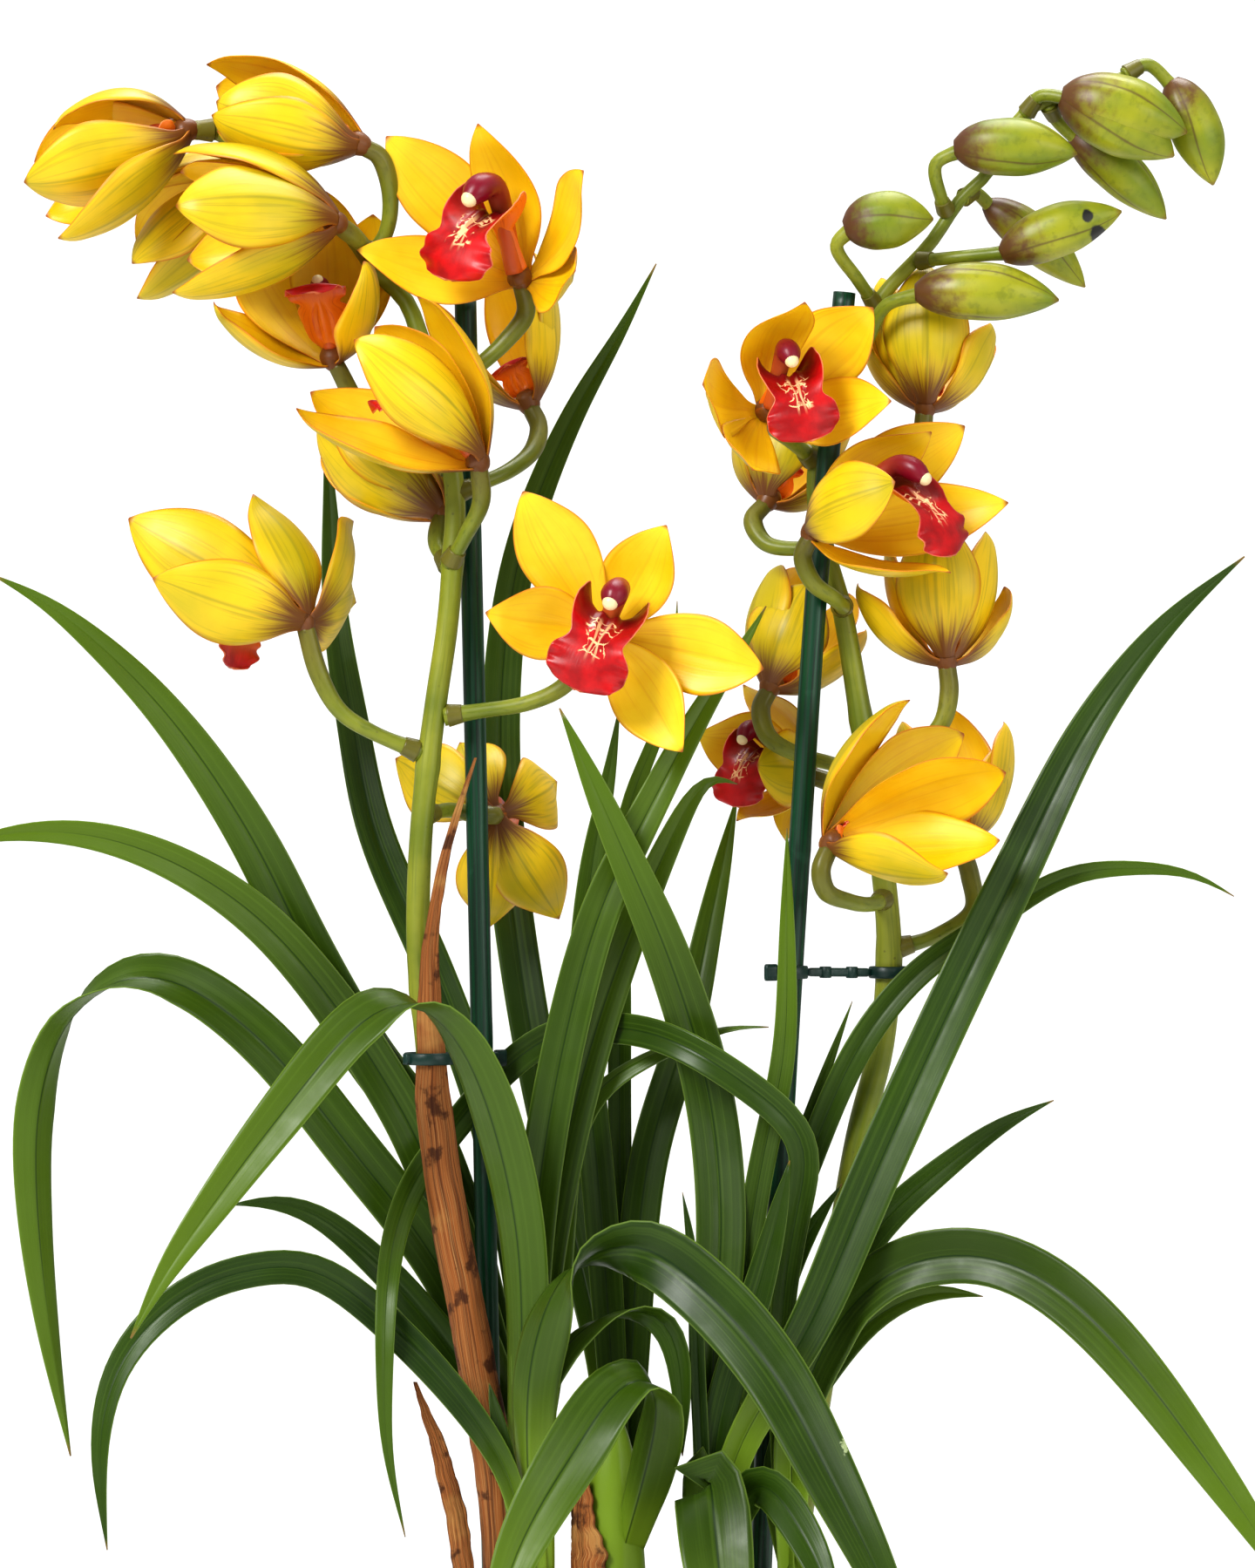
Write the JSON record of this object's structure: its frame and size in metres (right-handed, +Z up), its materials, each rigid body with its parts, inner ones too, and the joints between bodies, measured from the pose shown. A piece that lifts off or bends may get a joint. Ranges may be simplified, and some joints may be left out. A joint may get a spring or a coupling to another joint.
{
  "type": "potted cymbidium orchid",
  "caption": "Potted cymbidium orchid with arching spikes of yellow, red-lipped blooms and buds, strap leaves, support stakes and a plain nursery pot.",
  "frame": {"origin": "middle of the pot's underside, on the ground", "axes": "+Z up, the front of the plant faces -Y, +X is the viewer's right"},
  "size_m": [0.5094, 0.2135, 0.7772],
  "materials": {
    "pot": "satin dark nursery plastic",
    "bark": "rough bark chips",
    "stake": "dark green with a soft sheen",
    "clip": "dark green satin",
    "stem": "smooth waxy stem",
    "leaf": "smooth leaf with a soft sheen",
    "sheath": "dry fibrous sheath",
    "tepal": "waxy petal",
    "lip": "waxy petal"
  },
  "bodies": {
    "root": {"pot": "pot", "bark_mix": "bark", "stake_left": "stake", "stake_right": "stake", "clip_left": "clip", "clip_right": "clip", "spike_left": "stem", "spike_right": "stem", "shoot_left_back": "leaf", "shoot_left_front": "leaf", "shoot_middle_back": "leaf", "shoot_old": "leaf", "shoot_right_front": "leaf", "shoot_right": "leaf", "shoot_right_back": "leaf", "sheath_spike": "sheath", "sheath_low": "sheath", "sheath_bulb": "sheath", "bloom_l01_tepals": "tepal", "bloom_l01_lip": "lip", "bloom_l02_tepals": "tepal", "bloom_l02_lip": "lip", "bloom_l03_tepals": "tepal", "bloom_l03_lip": "lip", "bloom_l04_tepals": "tepal", "bloom_l04_lip": "lip", "bloom_l05_tepals": "tepal", "bloom_l05_lip": "lip", "bloom_l06_tepals": "tepal", "bloom_l06_lip": "lip", "bloom_l07_tepals": "tepal", "bloom_l07_lip": "lip", "bloom_l08_tepals": "tepal", "bloom_l08_lip": "lip", "bloom_l09_tepals": "tepal", "bloom_l09_lip": "lip", "bloom_l10_tepals": "tepal", "bloom_l10_lip": "lip", "bloom_l11_tepals": "tepal", "bloom_l11_lip": "lip", "bloom_l12_tepals": "tepal", "bloom_l12_lip": "lip", "bloom_r01_tepals": "tepal", "bloom_r01_lip": "lip", "bloom_r02_tepals": "tepal", "bloom_r02_lip": "lip", "bloom_r03_tepals": "tepal", "bloom_r03_lip": "lip", "bloom_r04_tepals": "tepal", "bloom_r04_lip": "lip", "bloom_r05_tepals": "tepal", "bloom_r05_lip": "lip", "bloom_r06_tepals": "tepal", "bloom_r06_lip": "lip", "bloom_r07_tepals": "tepal", "bloom_r07_lip": "lip", "bloom_r08_tepals": "tepal", "bloom_r08_lip": "lip", "bloom_r09_tepals": "tepal", "bloom_r09_lip": "lip"}
  },
  "joints": []
}
